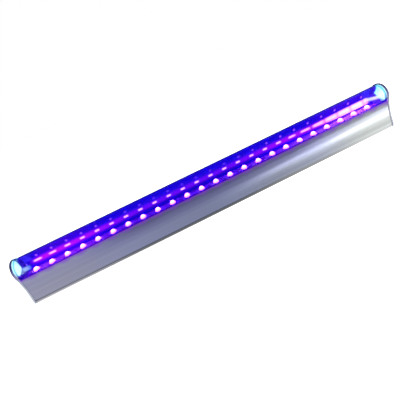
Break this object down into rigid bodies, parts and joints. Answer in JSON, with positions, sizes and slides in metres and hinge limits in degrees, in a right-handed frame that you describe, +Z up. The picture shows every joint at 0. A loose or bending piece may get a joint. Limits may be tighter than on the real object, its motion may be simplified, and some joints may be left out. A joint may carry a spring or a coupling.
{
  "type": "led light tube",
  "caption": "Straight LED light tube: clear round cover over a strip of violet LEDs on a flared aluminium base, closed by end caps with recessed power sockets.",
  "frame": {"origin": "middle of the flat underside", "axes": "+X along the tube toward the right end cap, +Z up through the clear cover, -Y the side seen from the front"},
  "size_m": [0.31, 0.0218, 0.0348],
  "materials": {
    "aluminium_base": "satin anodised extrusion",
    "clear_cover": "clear violet-blue polycarbonate, gloss",
    "cap_plastic": "moulded polycarbonate, fine matte",
    "screw_steel": "zinc plated",
    "contact_brass": "bright",
    "thermal_tape": "matte",
    "strip_board": "white solder mask",
    "led_body": "white moulded body",
    "led_dome": "lit silicone dome",
    "solder": "bright solder",
    "sleeve_film": "insulating film",
    "driver_laminate": "green solder mask",
    "fuse_body": "lacquer",
    "varistor_body": "epoxy",
    "film_body": "moulded case",
    "chip_epoxy": "moulded epoxy",
    "can_sleeve": "shrink sleeve over an aluminium can",
    "ferrite": "ferrite",
    "copper_wire": "enamelled copper",
    "lead_brown": "PVC",
    "lead_blue": "PVC",
    "lead_green_yellow": "PVC",
    "lead_red": "PVC",
    "lead_black": "PVC",
    "spring_steel": "spring strip"
  },
  "bodies": {
    "root": {"base_profile": "aluminium_base", "clear_cover": "clear_cover", "end_cap_left": "cap_plastic", "end_cap_right": "cap_plastic", "cap_screws_left": "screw_steel", "cap_screws_right": "screw_steel", "contact_sockets_left": "contact_brass", "contact_sockets_right": "contact_brass", "board_tape": "thermal_tape", "led_board": "strip_board", "led_packages": "led_body", "led_lenses": "led_dome", "led_solder_joints": "solder", "driver_sleeve": "sleeve_film", "driver_board": "driver_laminate", "driver_solder_joints": "solder", "fuse_resistor": "fuse_body", "surge_varistor": "varistor_body", "film_capacitor": "film_body", "bridge_rectifier": "chip_epoxy", "input_capacitor": "can_sleeve", "controller_chip": "chip_epoxy", "switching_diode": "chip_epoxy", "inductor_core": "ferrite", "inductor_winding": "copper_wire", "output_capacitor": "can_sleeve", "line_lead": "lead_brown", "earth_lead": "lead_green_yellow", "neutral_lead": "lead_blue", "line_tap": "lead_brown", "neutral_tap": "lead_blue", "led_positive_lead": "lead_red", "led_negative_lead": "lead_black", "earth_spring": "spring_steel"}
  },
  "joints": []
}
